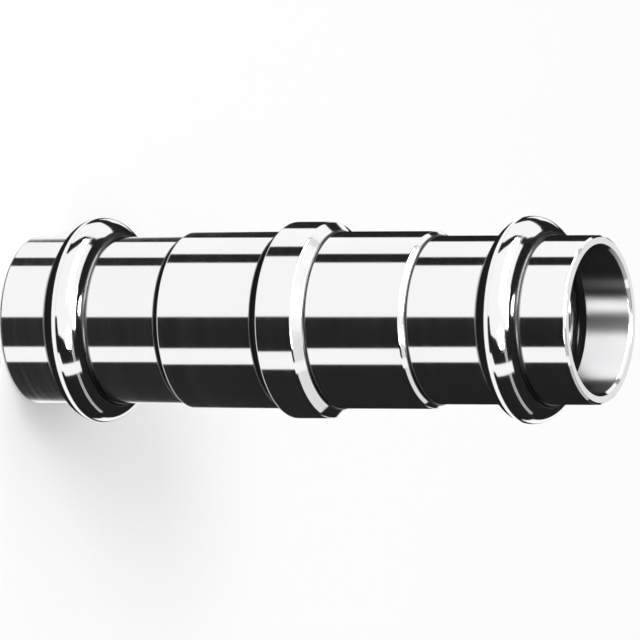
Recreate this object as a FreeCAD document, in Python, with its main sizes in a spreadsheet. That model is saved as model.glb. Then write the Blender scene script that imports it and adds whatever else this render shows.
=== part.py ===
import FreeCAD, Part
import math
import os
import Sketcher

# Press slip coupling for two 22 mm pipes, standing on one end face.
# One metal body: a press end at each end, with a hollow bead round a rubber seal ring,
# a thicker barrel between them, and a raised ring round the middle of the barrel.
# The bore has no stop, so the coupling slips along one pipe and back over the joint.
# +Z runs along the bore. The origin is the centre of the lower end face. Millimetres.

DIMENSIONS = [
    ("pipe_diameter", 22.0, "outside diameter of the pipes that are joined"),
    ("pipe_gap", 0.15, "radial gap between pipe and bore"),
    ("overall_length", 96.0, "end face to end face"),
    ("press_wall", 1.7, "wall of the collar and of the press land"),
    ("press_end_length", 26.7, "end face to the foot of the barrel's step"),
    ("barrel_rise", 0.7, "how far the barrel stands above the press land"),
    ("barrel_step_length", 0.8, "length of the slope up to the barrel"),
    ("ring_rise", 1.5, "how far the middle ring stands above the barrel"),
    ("ring_width", 6.0, "width of the middle ring's flat"),
    ("ring_slope_length", 1.5, "length of the slope down each side of the ring"),
    ("shoulder_fillet", 0.4, "round on the corners of barrel and ring"),
    ("seal_section", 3.3, "diameter of the seal ring's round section"),
    ("seal_pipe_gap", 0.05, "radial gap between pipe and seal ring before pressing"),
    ("seal_seat_gap", 0.05, "gap between seal ring and chamber"),
    ("seal_from_end", 11.3, "end face to the middle of the seal ring"),
    ("bead_wall", 1.4, "wall of the bead round the seal chamber"),
    ("bead_foot_fillet", 0.6, "fillet outside, where the bead meets the plain wall"),
    ("chamber_mouth_length", 2.1, "length of the slope from the bore to each chamber flank"),
    ("chamber_mouth_depth", 1.3, "how deep that slope goes into the wall"),
    ("lead_in", 0.4, "chamfer at the mouth of the bore"),
    ("end_edge_chamfer", 0.3, "chamfer on the outside edge of each end face"),
]

# No chamfer takes more than this share of the wall that it is cut in.
WALL_SHARE = 0.45

# Sizes worked out from the driving dimensions, as expressions for the document.
PIPE_RADIUS = "Dimensions.pipe_diameter / 2"
BORE_RADIUS = f"({PIPE_RADIUS} + Dimensions.pipe_gap)"
COLLAR_RADIUS = f"({BORE_RADIUS} + Dimensions.press_wall)"
BARREL_RADIUS = f"({COLLAR_RADIUS} + Dimensions.barrel_rise)"
RING_RADIUS = f"({BARREL_RADIUS} + Dimensions.ring_rise)"
SECTION_RADIUS = "(Dimensions.seal_section / 2)"
SEAL_RADIUS = f"({PIPE_RADIUS} + Dimensions.seal_pipe_gap + {SECTION_RADIUS})"
CHAMBER_RADIUS = f"({SECTION_RADIUS} + Dimensions.seal_seat_gap)"
BEAD_RADIUS = f"({CHAMBER_RADIUS} + Dimensions.bead_wall)"
MOUTH_RADIUS = f"({BORE_RADIUS} + Dimensions.chamber_mouth_depth)"
CHAMBER_BACK = f"({SEAL_RADIUS} / 2)"
LEAD_IN = f"min(Dimensions.lead_in; {WALL_SHARE} * Dimensions.press_wall)"
END_EDGE_CHAMFER = f"min(Dimensions.end_edge_chamfer; {WALL_SHARE} * Dimensions.press_wall)"

# Heights are counted from the middle plane, about which the two halves mirror.
HALF_LENGTH = "(Dimensions.overall_length / 2)"
SEAL_HEIGHT = f"({HALF_LENGTH} - Dimensions.seal_from_end)"
BEAD_LOW = f"({SEAL_HEIGHT} - {BEAD_RADIUS})"
BEAD_HIGH = f"({SEAL_HEIGHT} + {BEAD_RADIUS})"
FLANK_LOW = f"({SEAL_HEIGHT} - {CHAMBER_RADIUS})"
FLANK_HIGH = f"({SEAL_HEIGHT} + {CHAMBER_RADIUS})"
MOUTH_LOW = f"({FLANK_LOW} - Dimensions.chamber_mouth_length)"
MOUTH_HIGH = f"({FLANK_HIGH} + Dimensions.chamber_mouth_length)"
STEP_FOOT = f"({HALF_LENGTH} - Dimensions.press_end_length)"
STEP_TOP = f"({STEP_FOOT} - Dimensions.barrel_step_length)"
RING_EDGE = "(Dimensions.ring_width / 2)"
RING_FOOT = f"({RING_EDGE} + Dimensions.ring_slope_length)"

ON_AXIS = "0"  # a radius or height that puts a point on the sketch's own axis
SAME = 1e-4  # sizes this close are equal


def make_sheet(doc):
    """The spreadsheet with the driving dimensions."""
    sheet = doc.addObject("Spreadsheet::Sheet", "Dimensions")
    for row, (alias, value, meaning) in enumerate(DIMENSIONS, start=1):
        sheet.set(f"A{row}", meaning)
        sheet.set(f"B{row}", str(value))
        sheet.setAlias(f"B{row}", alias)
    doc.recompute()
    return sheet


def value_of(sheet, expression):
    """The number that an expression gives now."""
    found = sheet.evalExpression(expression)
    return float(getattr(found, "Value", found))


def new_sketch(body, name):
    """An empty sketch on the body's XZ plane, where x is radius and y is height."""
    sketch = body.newObject("Sketcher::SketchObject", name)
    plane = next(f for f in body.Origin.OriginFeatures if f.Role == "XZ_Plane")
    sketch.AttachmentSupport = [(plane, "")]
    sketch.MapMode = "FlatFace"
    return sketch


def bind(sketch, constraint, expression):
    """Adds a constraint whose size follows an expression."""
    number = sketch.addConstraint(constraint)
    sketch.setExpression(f"Constraints[{number}]", expression)


def place_point(sketch, geometry, end, radius, height):
    """Ties one point of a sketch to a radius and a height, each an expression."""
    point = sketch.getPoint(geometry, end)
    for kind, axis, size, now in (
        ("DistanceX", -2, radius, point.x),
        ("DistanceY", -1, height, point.y),
    ):
        if size == ON_AXIS:
            sketch.addConstraint(Sketcher.Constraint("PointOnObject", geometry, end, axis))
        else:
            bind(sketch, Sketcher.Constraint(kind, -1, 1, geometry, end, now), size)


def draw_polygon(sheet, sketch, corners):
    """A closed outline of straight edges through corners of (radius, height)."""
    points = [
        FreeCAD.Vector(value_of(sheet, radius), value_of(sheet, height), 0)
        for radius, height in corners
    ]
    count = len(points)
    for n, start in enumerate(points):
        sketch.addGeometry(Part.LineSegment(start, points[(n + 1) % count]), False)
    for n in range(count):
        sketch.addConstraint(Sketcher.Constraint("Coincident", n, 2, (n + 1) % count, 1))
    for n, (radius, height) in enumerate(corners):
        place_point(sketch, n, 1, radius, height)


def draw_circle(sheet, sketch, radius, height, size):
    """A circle of radius size round the point (radius, height)."""
    centre = FreeCAD.Vector(value_of(sheet, radius), value_of(sheet, height), 0)
    circle = Part.Circle(centre, FreeCAD.Vector(0, 0, 1), value_of(sheet, size))
    drawn = sketch.addGeometry(circle, False)
    place_point(sketch, drawn, 3, radius, height)
    bind(sketch, Sketcher.Constraint("Radius", drawn, circle.Radius), size)


def draw_chamber(sheet, sketch):
    """A slot out of the bore: straight flanks, and a round crown about the seal ring."""
    inside, crown, height, half = (
        value_of(sheet, size)
        for size in (CHAMBER_BACK, SEAL_RADIUS, SEAL_HEIGHT, CHAMBER_RADIUS)
    )
    lower_back = FreeCAD.Vector(inside, height - half, 0)
    lower_front = FreeCAD.Vector(crown, height - half, 0)
    upper_front = FreeCAD.Vector(crown, height + half, 0)
    upper_back = FreeCAD.Vector(inside, height + half, 0)
    centre = FreeCAD.Vector(crown, height, 0)
    circle = Part.Circle(centre, FreeCAD.Vector(0, 0, 1), half)
    lower = sketch.addGeometry(Part.LineSegment(lower_back, lower_front), False)
    arc = sketch.addGeometry(Part.ArcOfCircle(circle, -math.pi / 2, math.pi / 2), False)
    upper = sketch.addGeometry(Part.LineSegment(upper_front, upper_back), False)
    closing = sketch.addGeometry(Part.LineSegment(upper_back, lower_back), False)
    sketch.addConstraint(
        [
            Sketcher.Constraint("Tangent", lower, 2, arc, 1),
            Sketcher.Constraint("Tangent", arc, 2, upper, 1),
            Sketcher.Constraint("Coincident", upper, 2, closing, 1),
            Sketcher.Constraint("Coincident", closing, 2, lower, 1),
            Sketcher.Constraint("Horizontal", lower),
            Sketcher.Constraint("Horizontal", upper),
            Sketcher.Constraint("Vertical", closing),
        ]
    )
    place_point(sketch, arc, 3, SEAL_RADIUS, SEAL_HEIGHT)
    bind(sketch, Sketcher.Constraint("Radius", arc, half), CHAMBER_RADIUS)
    bind(sketch, Sketcher.Constraint("DistanceX", -1, 1, lower, 1, inside), CHAMBER_BACK)


def turn(body, kind, name, sketch):
    """Turns a sketch about the bore's axis: a Revolution adds and a Groove cuts."""
    feature = body.newObject(kind, name)
    feature.Profile = sketch
    feature.ReferenceAxis = (sketch, ["V_Axis"])
    body.Document.recompute()
    return feature


def check_cut(before, after):
    """Stops the build if a cut removed nothing."""
    if not after.Shape.Volume < before.Shape.Volume:
        raise ValueError(f"{after.Label} cut nothing from {before.Label}")


def circles_at(sheet, feature, radius, low, high):
    """The names of a feature's circular edges of one radius, from one height to another."""
    size, bottom, top = (value_of(sheet, expression) for expression in (radius, low, high))
    found = []
    for number, edge in enumerate(feature.Shape.Edges, start=1):
        if not isinstance(edge.Curve, Part.Circle):
            continue
        height = edge.Curve.Center.z
        if abs(edge.Curve.Radius - size) < SAME and bottom - SAME < height < top + SAME:
            found.append(f"Edge{number}")
    if not found:
        raise ValueError(f"{feature.Label} has no circle of radius {size:.3f} there")
    return found


def dress(body, sheet, kind, name, size, places):
    """A fillet or chamfer on the circles at some places of the body's last feature."""
    base = body.Tip
    edges = [edge for place in places for edge in circles_at(sheet, base, *place)]
    feature = body.newObject(f"PartDesign::{kind}", name)
    feature.Base = (base, edges)
    feature.setExpression("Radius" if kind == "Fillet" else "Size", size)
    body.Document.recompute()


def turn_half(body, sheet):
    """The upper half of the body: turned outside, beaded, bored and chambered."""
    sketch = new_sketch(body, "outside_profile")
    outside = [
        (ON_AXIS, ON_AXIS),
        (RING_RADIUS, ON_AXIS),
        (RING_RADIUS, RING_EDGE),
        (BARREL_RADIUS, RING_FOOT),
        (BARREL_RADIUS, STEP_TOP),
        (COLLAR_RADIUS, STEP_FOOT),
        (COLLAR_RADIUS, HALF_LENGTH),
        (ON_AXIS, HALF_LENGTH),
    ]
    draw_polygon(sheet, sketch, outside)
    turn(body, "PartDesign::Revolution", "outside", sketch)

    # the bead is concentric with the seal ring's section, so its wall is even
    sketch = new_sketch(body, "bead_profile")
    draw_circle(sheet, sketch, SEAL_RADIUS, SEAL_HEIGHT, BEAD_RADIUS)
    bead = turn(body, "PartDesign::Revolution", "bead", sketch)

    sketch = new_sketch(body, "bore_profile")
    inside = [
        (ON_AXIS, ON_AXIS),
        (BORE_RADIUS, ON_AXIS),
        (BORE_RADIUS, HALF_LENGTH),
        (ON_AXIS, HALF_LENGTH),
    ]
    draw_polygon(sheet, sketch, inside)
    bore = turn(body, "PartDesign::Groove", "bore", sketch)
    check_cut(bead, bore)

    sketch = new_sketch(body, "chamber_profile")
    draw_chamber(sheet, sketch)
    chamber = turn(body, "PartDesign::Groove", "seal_chamber", sketch)
    check_cut(bore, chamber)

    # the slopes keep the wall even under the bead's feet, as a formed bead has it
    sketch = new_sketch(body, "chamber_mouth_profile")
    slopes = [
        (CHAMBER_BACK, MOUTH_LOW),
        (BORE_RADIUS, MOUTH_LOW),
        (MOUTH_RADIUS, FLANK_LOW),
        (MOUTH_RADIUS, FLANK_HIGH),
        (BORE_RADIUS, MOUTH_HIGH),
        (CHAMBER_BACK, MOUTH_HIGH),
    ]
    draw_polygon(sheet, sketch, slopes)
    mouth = turn(body, "PartDesign::Groove", "chamber_mouth", sketch)
    check_cut(chamber, mouth)


def dress_half(body, sheet):
    """Rounds and chamfers on the upper half."""
    bead_feet = [(COLLAR_RADIUS, BEAD_LOW, BEAD_HIGH)]
    dress(body, sheet, "Fillet", "bead_feet", "Dimensions.bead_foot_fillet", bead_feet)
    shoulders = [
        (RING_RADIUS, RING_EDGE, RING_EDGE),
        (BARREL_RADIUS, RING_FOOT, RING_FOOT),
        (BARREL_RADIUS, STEP_TOP, STEP_TOP),
        (COLLAR_RADIUS, STEP_FOOT, STEP_FOOT),
    ]
    dress(body, sheet, "Fillet", "shoulders", "Dimensions.shoulder_fillet", shoulders)
    end_edge = [(COLLAR_RADIUS, HALF_LENGTH, HALF_LENGTH)]
    dress(body, sheet, "Chamfer", "end_edge", END_EDGE_CHAMFER, end_edge)
    bore_mouth = [(BORE_RADIUS, HALF_LENGTH, HALF_LENGTH)]
    dress(body, sheet, "Chamfer", "bore_lead_in", LEAD_IN, bore_mouth)


def make_body(doc, sheet):
    """The metal body: the upper half and its mirror image, set on the lower end face."""
    body = doc.addObject("PartDesign::Body", "coupling_body")
    turn_half(body, sheet)
    dress_half(body, sheet)
    mirrored = body.newObject("PartDesign::Mirrored", "both_halves")
    mirrored.TransformMode = "Whole shape"
    plane = next(f for f in body.Origin.OriginFeatures if f.Role == "XY_Plane")
    mirrored.MirrorPlane = (plane, [""])
    mirrored.Refine = True
    body.Tip = mirrored
    body.setExpression(".Placement.Base.z", HALF_LENGTH)
    return body


def make_seal_ring(doc, name, height):
    """One rubber seal ring, round in section, at a height above the lower end face."""
    ring = doc.addObject("Part::Torus", name)
    ring.setExpression("Radius1", SEAL_RADIUS)
    ring.setExpression("Radius2", SECTION_RADIUS)
    ring.setExpression(".Placement.Base.z", height)
    return ring


def check(doc, parts):
    """Stops the build if any object failed or any sub-part is not one valid solid."""
    for thing in doc.Objects:
        if {"Invalid", "Error"} & set(thing.State):
            raise ValueError(f"{thing.Label} is in state {thing.State}")
    for part in parts:
        shape = part.Shape
        if shape.isNull() or not shape.isValid() or len(shape.Solids) != 1:
            raise ValueError(f"{part.Label} is not one valid solid")


def write(parts):
    """Writes each sub-part to its own file and prints its size."""
    os.makedirs("parts", exist_ok=True)
    for part in parts:
        part.Shape.exportStep(f"parts/{part.Label}.step")
        box = part.Shape.optimalBoundingBox(True, False)
        print(
            f"{part.Label}: {part.Shape.Volume:.1f} mm3,"
            f" {box.XLength:.2f} x {box.YLength:.2f} x {box.ZLength:.2f} mm,"
            f" z {box.ZMin:.2f} to {box.ZMax:.2f}"
        )


def main():
    doc = FreeCAD.newDocument("press_slip_coupling")
    sheet = make_sheet(doc)
    lower = "Dimensions.seal_from_end"
    upper = f"Dimensions.overall_length - {lower}"
    parts = [
        make_body(doc, sheet),
        make_seal_ring(doc, "lower_seal_ring", lower),
        make_seal_ring(doc, "upper_seal_ring", upper),
    ]
    doc.recompute()
    check(doc, parts)
    write(parts)


main()
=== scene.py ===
import math

import bpy
from mathutils import Matrix, Vector


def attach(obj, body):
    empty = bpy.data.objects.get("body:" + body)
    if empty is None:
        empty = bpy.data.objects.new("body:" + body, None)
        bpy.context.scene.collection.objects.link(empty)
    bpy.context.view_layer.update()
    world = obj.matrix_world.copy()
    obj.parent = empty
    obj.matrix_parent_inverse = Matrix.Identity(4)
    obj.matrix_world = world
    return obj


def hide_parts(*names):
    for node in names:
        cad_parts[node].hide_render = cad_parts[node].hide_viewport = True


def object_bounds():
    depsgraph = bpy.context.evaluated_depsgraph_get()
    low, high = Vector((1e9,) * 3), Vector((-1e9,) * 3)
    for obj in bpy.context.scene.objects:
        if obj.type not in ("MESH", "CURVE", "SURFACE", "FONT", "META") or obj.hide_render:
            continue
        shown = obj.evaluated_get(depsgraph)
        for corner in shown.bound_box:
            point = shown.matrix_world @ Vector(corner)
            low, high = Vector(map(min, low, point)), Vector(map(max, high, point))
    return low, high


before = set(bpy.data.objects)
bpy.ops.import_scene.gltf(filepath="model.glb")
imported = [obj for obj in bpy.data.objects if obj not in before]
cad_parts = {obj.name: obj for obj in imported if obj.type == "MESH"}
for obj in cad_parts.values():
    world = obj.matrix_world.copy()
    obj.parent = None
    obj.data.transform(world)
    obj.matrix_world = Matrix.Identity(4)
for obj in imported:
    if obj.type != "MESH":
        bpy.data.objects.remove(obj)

# The coupling stands on its lower end. The camera lies on its side above it, so the axis
# runs across the picture with the open upper end on the right. In the picture up is -X.

CAD_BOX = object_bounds()
MM = 0.001
TAU = 2 * math.pi
QUARTER = math.pi / 2

# The turned body, in millimetres, as the solids have it.
OVERALL = CAD_BOX[1].z / MM
BORE_RADIUS = 11.15
COLLAR_RADIUS = 12.85
BARREL_RADIUS = 13.55
RING_RADIUS = 15.05
SEAL_RADIUS = 12.7
CHAMBER_RADIUS = 1.7
BEAD_RADIUS = 3.1
SEAL_FROM_END = 11.3
PRESS_END = 26.7
STEP_LENGTH = 0.8
RING_HALF = 3.0
RING_SLOPE = 1.5
SHOULDER_ROUND = 0.4
FOOT_ROUND = 0.6
MOUTH_LENGTH = 2.1
MOUTH_DEPTH = 1.3
LEAD_IN = 0.4
END_CHAMFER = 0.3
BURR_ROUND = 0.06  # what polishing leaves of a sharp edge
SIDES = 256
ARC_STEP = math.radians(7.5)
BORE_NORMAL = -0.995  # a face is the bore's if its normal's outward part is below this

# Metal. Noise scales are steps for each metre.
FINE_MARKS = 9000.0
BROAD_MARKS = 1500.0
FINE_SHARE = 0.4
MARK_LEVELS = (0.3, 0.7)  # the noise's values between which the roughness changes
MARK_DEPTH = 0.05 * MM
PATCHES = 60.0
METAL_BLUE = 1.008  # blue, where red and green are 1
# painted shade: the near-black colour of the inner corners of the outside
PAINTED_SHADE_TONE = 0.04
DULL_ROUGHNESS = 0.35
SHADE_REACH_AT_SHOULDER = 0.4  # how far the painted shade reaches from an inner corner, in millimetres
SHADE_REACH_AT_FOOT = 0.8

# Rubber
RUBBER_COLOURS = ((0.012, 0.012, 0.013, 1), (0.035, 0.035, 0.037, 1))
RUBBER_ROUGHNESS = (0.12, 0.20)
RUBBER_SPECULAR = 1.0
RUBBER_BLOOM = 400.0

# Floor
FLOOR_HALF = 3.0  # metres
FLOOR_TONE = 0.94
FLOOR_ROUGHNESS = 0.9

# Camera
LENS = 600.0  # millimetres
ELEVATION = math.radians(26.2)
TO_CAMERA = Vector((0, -math.cos(ELEVATION), math.sin(ELEVATION)))
PICTURE_WIDTH = 98.0 * MM  # seen across the picture at the coupling's middle
AIM_SHIFT = 0.7 * MM  # the aim lies this far above the coupling's middle

# Light, with lengths in metres. The metal mirrors the studio from MIRROR_BLACK to MIRROR_WHITE.
KEY_WATTS = 3.0
KEY_SIZE = 0.4
KEY_PLACE = Vector((-0.28, -0.49, 1.11))
KEY_AIM = Vector((0, 0, 0.05))
ROOM_LIGHT = 0.9  # what plain surfaces and the camera see of the studio
MIRROR_WHITE = 1.1
MIRROR_BLACK = 0.015

# The studio as the metal mirrors it, given by the slope of the wall that shows it to the
# camera, in degrees. Tilt is 0 on a cylinder, 90 on the upper end face, below 0 on what leans
# to the lower end. Side is 0 at the wall that faces the camera, and above 0 over it in the
# picture. All is black but these panels, and where metal mirrors metal they are black too.
# Each has a brightness, how many degrees its sides take to fade, and its corners as tilt,
# lowest side and highest side, joined by straight edges.
LOWEST, HIGHEST = -200, 200
WHITE = 1.0
END_FACE_WHITE = 0.8
STRIPE_LAMP, BORE_LAMP, SEAL_LAMP = 34.0, 28.0, 7.0
CRISP, SOFT = 1.0, 2.0
PANELS = (
    # the bands on cylinders, and how they go on over the bead
    (WHITE, CRISP, ((-3, -30, -18.7), (3, -30, -18.7), (6, -33, -25.5), (57, -33, -25.5))),
    (WHITE, CRISP, ((-3, 2, 40.2), (3, 2, 40.2), (6, -8, 42), (20, -11, 47), (24, -14, 50),
                    (40, -14, 52), (46, -6, 52), (57, -4, 52))),
    (WHITE, CRISP, ((-3, 48.2, 68.4), (3, 48.2, 68.4), (24, 56, 76), (57, 60, 79), (70, 68, 79))),
    # edges that lean to the lower end, slopes of barrel and ring, end face
    (WHITE, CRISP, ((-16, LOWEST, HIGHEST), (-3, LOWEST, HIGHEST))),
    (WHITE, CRISP, ((40.4, -72, 75), (42, -72, 75))),
    (WHITE, CRISP, ((44.2, -72, 75), (45.8, -72, 75))),
    (END_FACE_WHITE, CRISP, ((82, LOWEST, HIGHEST), (100, LOWEST, HIGHEST))),
    # strong lamps that shine into the bore and on the seal ring
    (STRIPE_LAMP, CRISP, ((28, -16, -6.5), (40, -16, -6.5))),
    (BORE_LAMP, SOFT, ((28, 10.5, 53), (40, 10.5, 54))),
    (SEAL_LAMP, SOFT, ((50, -5, 19), (57, -5, 19))),
)
END_FADE = 1.5
# White panels behind the coupling, as bearings from the camera's side towards -X, and heights.
BACK_PANELS = ((-175, -140), (150, 166))
BACK_HEIGHTS = (-21, -3)


# The turned body

def arc(radius, z, size, start, end):
    """Points (radius, z, normal radius, normal z) round a centre; angles run from +r to +z."""
    steps = max(2, math.ceil(abs(end - start) / ARC_STEP))
    outward = 1 if end > start else -1
    points = []
    for n in range(steps + 1):
        angle = start + (end - start) * n / steps
        across, along = math.cos(angle), math.sin(angle)
        points.append((radius + size * across, z + size * along, outward * across, outward * along))
    return points


def round_corner(before, corner, after, size):
    """An arc that rounds one corner of an outline, from the edge before to the edge after."""
    corner = Vector(corner)
    back, on = (Vector(before) - corner).normalized(), (Vector(after) - corner).normalized()
    half = back.angle(on) / 2
    centre = corner + (back + on).normalized() * size / math.sin(half)
    turn = (-back).angle_signed(on)  # clockwise is positive
    start_way = corner + back * size / math.tan(half) - centre
    start = math.atan2(start_way.y, start_way.x)
    return arc(*centre, size, start, start - turn)


def round_corners(corners):
    """Arcs for the corners of an open outline, apart from its two ends."""
    points = []
    for before, corner, after in zip(corners, corners[1:], corners[2:]):
        points += round_corner(before[:2], corner[:2], after[:2], corner[2])
    return points


def upper_outline():
    """The upper half's outline, from the ring's flat up the outside and down the bore."""
    top = OVERALL / 2
    seal = top - SEAL_FROM_END
    step_foot = top - PRESS_END
    ring_foot = RING_HALF + RING_SLOPE
    mouth = CHAMBER_RADIUS + MOUTH_LENGTH

    # each corner is a radius, a height from the middle and the size of its round
    outside = [
        (RING_RADIUS, 0, None),
        (RING_RADIUS, RING_HALF, SHOULDER_ROUND),
        (BARREL_RADIUS, ring_foot, SHOULDER_ROUND),
        (BARREL_RADIUS, step_foot - STEP_LENGTH, SHOULDER_ROUND),
        (COLLAR_RADIUS, step_foot, SHOULDER_ROUND),
        (COLLAR_RADIUS, seal, None),
    ]
    collar = [
        (COLLAR_RADIUS, seal, None),
        (COLLAR_RADIUS, top - END_CHAMFER, BURR_ROUND),
        (COLLAR_RADIUS - END_CHAMFER, top, BURR_ROUND),
        (BORE_RADIUS + LEAD_IN, top, BURR_ROUND),
        (BORE_RADIUS, top - LEAD_IN, BURR_ROUND),
        (BORE_RADIUS, seal + mouth, BURR_ROUND),
        (BORE_RADIUS + MOUTH_DEPTH, seal + CHAMBER_RADIUS, BURR_ROUND),
        (SEAL_RADIUS, seal + CHAMBER_RADIUS, None),
    ]
    inside = [
        (SEAL_RADIUS, seal - CHAMBER_RADIUS, None),
        (BORE_RADIUS + MOUTH_DEPTH, seal - CHAMBER_RADIUS, BURR_ROUND),
        (BORE_RADIUS, seal - mouth, BURR_ROUND),
        (BORE_RADIUS, 0, None),
    ]
    chamber = arc(SEAL_RADIUS, seal, CHAMBER_RADIUS, QUARTER, -QUARTER)
    return (round_corners(outside) + bead_outline(seal) + round_corners(collar) + chamber
            + round_corners(inside))


def bead_outline(seal):
    """The bead round a seal at this height, with a hollow round at each foot."""
    foot_radius = COLLAR_RADIUS + FOOT_ROUND
    reach = BEAD_RADIUS + FOOT_ROUND
    lean = math.acos((foot_radius - SEAL_RADIUS) / reach)
    offset = reach * math.sin(lean)
    return (
        arc(foot_radius, seal - offset, FOOT_ROUND, math.pi, math.pi - lean)
        + arc(SEAL_RADIUS, seal, BEAD_RADIUS, -lean, lean)[1:-1]
        + arc(foot_radius, seal + offset, FOOT_ROUND, math.pi + lean, math.pi)
    )


def turn_body(outside, bore):
    """The whole body: the outline and its mirror image, turned about the bore's axis."""
    upper = upper_outline()
    lower = [(radius, -z, across, -along) for radius, z, across, along in reversed(upper)]
    outline = upper + lower
    points, normals = [], []
    for radius, z, across, along in outline:
        for n in range(SIDES):
            angle = TAU * n / SIDES
            away = Vector((math.cos(angle), math.sin(angle), 0))
            points.append((away * radius + Vector((0, 0, z + OVERALL / 2))) * MM)
            normals.append(away * across + Vector((0, 0, along)))
    faces, finishes = [], []  # a finish is 0 for the outside and 1 for the bore
    for row in range(len(outline)):
        above = (row + 1) % len(outline)
        low, high = row * SIDES, above * SIDES
        in_bore = (outline[row][2] + outline[above][2]) / 2 < BORE_NORMAL
        for n in range(SIDES):
            on = (n + 1) % SIDES
            faces.append((low + n, low + on, high + on, high + n))
            finishes.append(1 if in_bore else 0)
    body = mesh_object("polished_body", points, faces, outside, bore)
    body.data.polygons.foreach_set("material_index", finishes)
    body.data.shade_smooth()
    body.data.normals_split_custom_set_from_vertices(normals)
    return body


def mesh_object(name, points, faces, *materials):
    mesh = bpy.data.meshes.new(name)
    mesh.from_pydata(points, [], faces)
    mesh.update()
    thing = bpy.data.objects.new(name, mesh)
    bpy.context.scene.collection.objects.link(thing)
    for material in materials:
        mesh.materials.append(material)
    return thing


def dress(thing, material):
    """Gives a piece this material in place of its own."""
    thing.data.materials.clear()
    thing.data.materials.append(material)


# Materials

class Nodes:
    """Short ways to add nodes to a tree, and to do sums with them."""

    def __init__(self, tree):
        self.tree = tree

    def feed(self, socket, value):
        """Sets a socket to a value, or joins it to another socket."""
        if isinstance(value, bpy.types.NodeSocket):
            self.tree.links.new(value, socket)
        else:
            socket.default_value = value

    def add(self, kind, settings=None, **inputs):
        """A node, whose inputs are named, or numbered as i0, i1 and so on."""
        node = self.tree.nodes.new(kind)
        for key, value in (settings or {}).items():
            setattr(node, key, value)
        for key, value in inputs.items():
            numbered = key[0] == "i" and key[1:].isdigit()
            self.feed(node.inputs[int(key[1:]) if numbered else key], value)
        return node

    def maths(self, operation, *values):
        inputs = {f"i{n}": value for n, value in enumerate(values)}
        return self.add("ShaderNodeMath", {"operation": operation}, **inputs).outputs[0]

    def vector(self, operation, *values):
        inputs = {f"i{n}": value for n, value in enumerate(values)}
        node = self.add("ShaderNodeVectorMath", {"operation": operation}, **inputs)
        return node.outputs["Value" if operation in ("LENGTH", "DISTANCE") else "Vector"]

    def noise(self, place, scale, detail, **settings):
        node = self.add("ShaderNodeTexNoise", settings, Vector=place, Scale=scale, Detail=detail)
        return node.outputs[0]

    def rescale(self, value, start, end, low=0.0, high=1.0, **settings):
        """Takes a value from the range start to end into the range low to high."""
        node = self.add("ShaderNodeMapRange", settings, i0=value, i1=start, i2=end, i3=low, i4=high)
        return node.outputs[0]

    def between(self, low, high, share):
        """A value from low, at a share of 0, to high, at a share of 1."""
        return self.add("ShaderNodeMix", {"data_type": "FLOAT"}, i0=share, i2=low, i3=high).outputs[0]

    def ramp(self, value, colours):
        """Two colours, with a value of 0 and of 1, and what lies between them."""
        node = self.add("ShaderNodeValToRGB", i0=value)
        for element, colour in zip(node.color_ramp.elements, colours):
            element.color = colour
        return node.outputs[0]


def new_material(name):
    """A material, its nodes and the inputs of its shader."""
    material = bpy.data.materials.new(name)
    material.use_nodes = True
    tree = material.node_tree
    return material, Nodes(tree), tree.nodes["Principled BSDF"].inputs


def metal_material(name, tones, roughness, spread, relief, corners=()):
    """Metal turned round Z, with fine marks; inner corners get painted shade and a duller roughness.
    """
    material, nodes, shader = new_material(name)
    place = nodes.add("ShaderNodeTexCoord").outputs["Object"]
    z = nodes.add("ShaderNodeSeparateXYZ", i0=place).outputs["Z"]
    radius = nodes.vector("LENGTH", nodes.vector("MULTIPLY", place, (1, 1, 0)))
    marks = turning_marks(nodes, radius, z)
    # inner corners get painted shade, a near-black colour, and a duller roughness
    shade_share = painted_shade_mask(nodes, radius, z, corners)

    rough = nodes.rescale(marks, *MARK_LEVELS, *roughness)
    nodes.feed(shader["Roughness"], nodes.between(rough, DULL_ROUGHNESS, shade_share))
    colours = [(tone, tone, tone * METAL_BLUE, 1) for tone in tones]
    unshaded_colour = nodes.ramp(nodes.noise(place, PATCHES, 3.0), colours)
    # painted shade: the colour turns near-black at the inner corners
    shade = nodes.add("ShaderNodeMix", {"data_type": "RGBA"}, i0=shade_share, i6=unshaded_colour,
                      i7=(PAINTED_SHADE_TONE, PAINTED_SHADE_TONE, PAINTED_SHADE_TONE, 1))
    nodes.feed(shader["Base Color"], shade.outputs[2])
    shader["Metallic"].default_value = 1.0
    bump = nodes.add("ShaderNodeBump", Strength=relief, Distance=MARK_DEPTH, Height=marks)
    nodes.feed(shader["Normal"], bump.outputs[0])

    # marks round the axis spread light along it
    shader["Anisotropic"].default_value = spread
    shader["Anisotropic Rotation"].default_value = 0.25  # a quarter turn
    tangent = nodes.add("ShaderNodeTangent", {"direction_type": "RADIAL", "axis": "Z"})
    nodes.feed(shader["Tangent"], tangent.outputs[0])
    return material


def turning_marks(nodes, radius, z):
    """Marks that run round the axis, so they change along the profile only."""
    profile = nodes.add("ShaderNodeCombineXYZ", i0=radius, i1=z).outputs[0]
    fine = nodes.noise(profile, FINE_MARKS, 2.0, noise_dimensions="2D")
    broad = nodes.noise(profile, BROAD_MARKS, 3.0, noise_dimensions="2D")
    fine_part = nodes.maths("MULTIPLY", fine, FINE_SHARE)
    broad_part = nodes.maths("MULTIPLY", broad, 1 - FINE_SHARE)
    return nodes.maths("ADD", fine_part, broad_part)


def painted_shade_mask(nodes, radius, z, corners):
    """1 at the inner corners, where the shade is painted, and 0 away from them."""
    height = nodes.maths("ABSOLUTE", nodes.maths("SUBTRACT", z, OVERALL / 2 * MM))
    section = nodes.add("ShaderNodeCombineXYZ", i0=radius, i1=height).outputs[0]
    shade_share = 0.0
    for corner_radius, corner_height, size in corners:
        distance = nodes.vector("DISTANCE", section, (corner_radius * MM, corner_height * MM, 0))
        near = nodes.rescale(distance, 0.5 * size * MM, size * MM, 1.0, 0.0)
        shade_share = nodes.maths("MAXIMUM", shade_share, near)
    return shade_share


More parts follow.
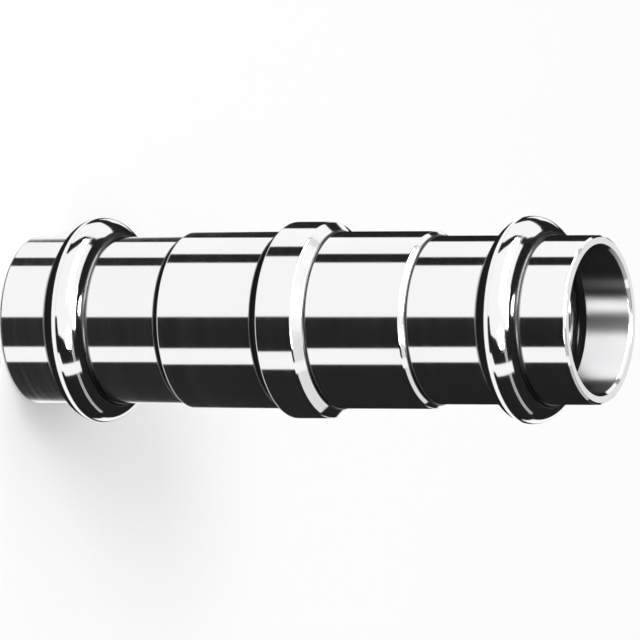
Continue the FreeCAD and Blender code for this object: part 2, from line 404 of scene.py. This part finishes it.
def outer_corners():
    """Inner corners of the outside, which get painted shade: radius, height from the middle, and how
    far the shade reaches.
    """
    top = OVERALL / 2
    seal = top - SEAL_FROM_END
    return (
        (BARREL_RADIUS, RING_HALF + RING_SLOPE, SHADE_REACH_AT_SHOULDER),
        (COLLAR_RADIUS, top - PRESS_END, SHADE_REACH_AT_SHOULDER),
        (COLLAR_RADIUS, seal - BEAD_RADIUS, SHADE_REACH_AT_FOOT),
        (COLLAR_RADIUS, seal + BEAD_RADIUS, SHADE_REACH_AT_FOOT),
    )


def rubber_material():
    """Smooth black rubber, as if greased, with a faint bloom."""
    material, nodes, shader = new_material("seal_rubber")
    place = nodes.add("ShaderNodeTexCoord").outputs["Object"]
    bloom = nodes.noise(place, RUBBER_BLOOM, 4.0)
    nodes.feed(shader["Base Color"], nodes.ramp(bloom, RUBBER_COLOURS))
    nodes.feed(shader["Roughness"], nodes.rescale(bloom, 0.0, 1.0, *RUBBER_ROUGHNESS))
    shader["Specular IOR Level"].default_value = RUBBER_SPECULAR
    return material


def floor_material():
    """Plain matt white."""
    material, _, shader = new_material("floor")
    shader["Base Color"].default_value = (FLOOR_TONE, FLOOR_TONE, FLOOR_TONE, 1)
    shader["Roughness"].default_value = FLOOR_ROUGHNESS
    shader["Specular IOR Level"].default_value = 0.0
    return material


# Stage

def make_floor():
    corners = [(x * FLOOR_HALF, y * FLOOR_HALF, 0) for x, y in ((-1, -1), (1, -1), (1, 1), (-1, 1))]
    floor = mesh_object("floor", corners, [(0, 1, 2, 3)], floor_material())
    floor.visible_glossy = False


def make_key_light():
    data = bpy.data.lights.new("key_light", "AREA")
    data.shape = "DISK"
    data.size = KEY_SIZE
    data.energy = KEY_WATTS
    light = bpy.data.objects.new("key_light", data)
    bpy.context.scene.collection.objects.link(light)
    turn = (KEY_PLACE - KEY_AIM).to_track_quat("Z", "Y").to_matrix()
    light.matrix_world = Matrix.Translation(KEY_PLACE) @ turn.to_4x4()


def window(nodes, value, low, high, fade):
    """1 where a value lies between two limits, and 0 elsewhere, with edges that fade."""
    over = nodes.maths("SUBTRACT", value, low)
    under = nodes.maths("SUBTRACT", high, value)
    smooth = {"interpolation_type": "SMOOTHSTEP"}
    return nodes.maths("MULTIPLY", nodes.rescale(over, -fade / 2, fade / 2, **smooth),
                       nodes.rescale(under, -fade / 2, fade / 2, **smooth))


def edge(nodes, tilt, corners, column):
    """A panel's edge: the side that it has at each tilt."""
    side = corners[0][column]
    for here, on in zip(corners, corners[1:]):
        rise = nodes.rescale(tilt, here[0], on[0], 0.0, on[column] - here[column])
        side = nodes.maths("ADD", side, rise)
    return side


def angles(nodes, direction):
    """A direction's height above level, and its bearing from -Y towards -X, in degrees."""
    x, y, z = nodes.add("ShaderNodeSeparateXYZ", i0=direction).outputs
    height = nodes.maths("DEGREES", nodes.maths("ARCSINE", z))
    x_back = nodes.maths("MULTIPLY", x, -1.0)
    y_back = nodes.maths("MULTIPLY", y, -1.0)
    return height, nodes.maths("DEGREES", nodes.maths("ARCTAN2", x_back, y_back))


def mirrored_light(nodes):
    """How bright the studio is in the metal, from 0 for black to 1 for white and more for lamps."""
    ray = nodes.add("ShaderNodeTexCoord").outputs["Generated"]

    # the wall that shows this part of the room to the camera faces half way between the two
    wall = nodes.vector("NORMALIZE", nodes.vector("ADD", ray, TO_CAMERA))
    tilt, side = angles(nodes, wall)
    light = 0.0
    for brightness, fade, corners in PANELS:
        lowest, highest = edge(nodes, tilt, corners, 1), edge(nodes, tilt, corners, 2)
        in_side = window(nodes, side, lowest, highest, fade)
        in_tilt = window(nodes, tilt, corners[0][0], corners[-1][0], END_FADE)
        lit = nodes.maths("MULTIPLY", in_side, in_tilt)
        light = nodes.maths("MAXIMUM", light, nodes.maths("MULTIPLY", lit, brightness))

    # behind the coupling, where no wall that the main camera sees mirrors the room
    height, bearing = angles(nodes, ray)
    in_height = window(nodes, height, *BACK_HEIGHTS, END_FADE)
    for panel in BACK_PANELS:
        behind = nodes.maths("MULTIPLY", window(nodes, bearing, *panel, END_FADE), in_height)
        light = nodes.between(light, WHITE, behind)
    return light


def make_world():
    """A plain white room, which the metal mirrors with white and black panels."""
    world = bpy.data.worlds.new("world")
    bpy.context.scene.world = world
    world.use_nodes = True
    nodes = Nodes(world.node_tree)
    path = nodes.add("ShaderNodeLightPath").outputs

    # where metal mirrors metal the room is dark, which keeps inner corners and the bore's
    # shaded walls dark; the depth is 1 at the first mirror
    first_mirror = nodes.maths("LESS_THAN", path["Glossy Depth"], 1.5)
    light = nodes.maths("MULTIPLY", mirrored_light(nodes), first_mirror)
    mirrored = nodes.rescale(light, 0.0, 1.0, MIRROR_BLACK, MIRROR_WHITE, clamp=False)
    background = world.node_tree.nodes["Background"].inputs
    background["Color"].default_value = (1, 1, 1, 1)
    nodes.feed(background["Strength"], nodes.between(ROOM_LIGHT, mirrored, path["Is Glossy Ray"]))


def make_camera():
    low, high = CAD_BOX
    centre = (low + high) / 2 + Vector((0, 0, AIM_SHIFT))
    right = Vector((0, math.sin(ELEVATION), math.cos(ELEVATION)))
    up = TO_CAMERA.cross(right)
    data = bpy.data.cameras.new("camera")
    data.lens = LENS
    distance = PICTURE_WIDTH * LENS / data.sensor_width
    turn = Matrix((right, up, TO_CAMERA)).transposed()
    camera = bpy.data.objects.new("camera", data)
    camera.matrix_world = Matrix.Translation(centre + TO_CAMERA * distance) @ turn.to_4x4()
    bpy.context.scene.collection.objects.link(camera)
    bpy.context.scene.camera = camera


# the outside gets painted shade at its inner corners
OUTSIDE = metal_material("polished_metal", tones=(0.80, 0.87), roughness=(0.07, 0.10), spread=0.4,
                         relief=0.05, corners=outer_corners())
# The bore is rougher and turned round the axis; its darker tone is painted shade in the bore, and the
# strong lamps give back its bright bands.
BORE = metal_material("bore_metal", tones=(0.36, 0.42), roughness=(0.33, 0.36), spread=1.0,
                      relief=0.02)
BODY = turn_body(OUTSIDE, BORE)
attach(BODY, "root")
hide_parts("coupling_body")
RUBBER = rubber_material()
for name in ("lower_seal_ring", "upper_seal_ring"):
    dress(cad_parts[name], RUBBER)
make_floor()
make_key_light()
make_world()
make_camera()
bpy.context.scene.view_settings.view_transform = "Standard"
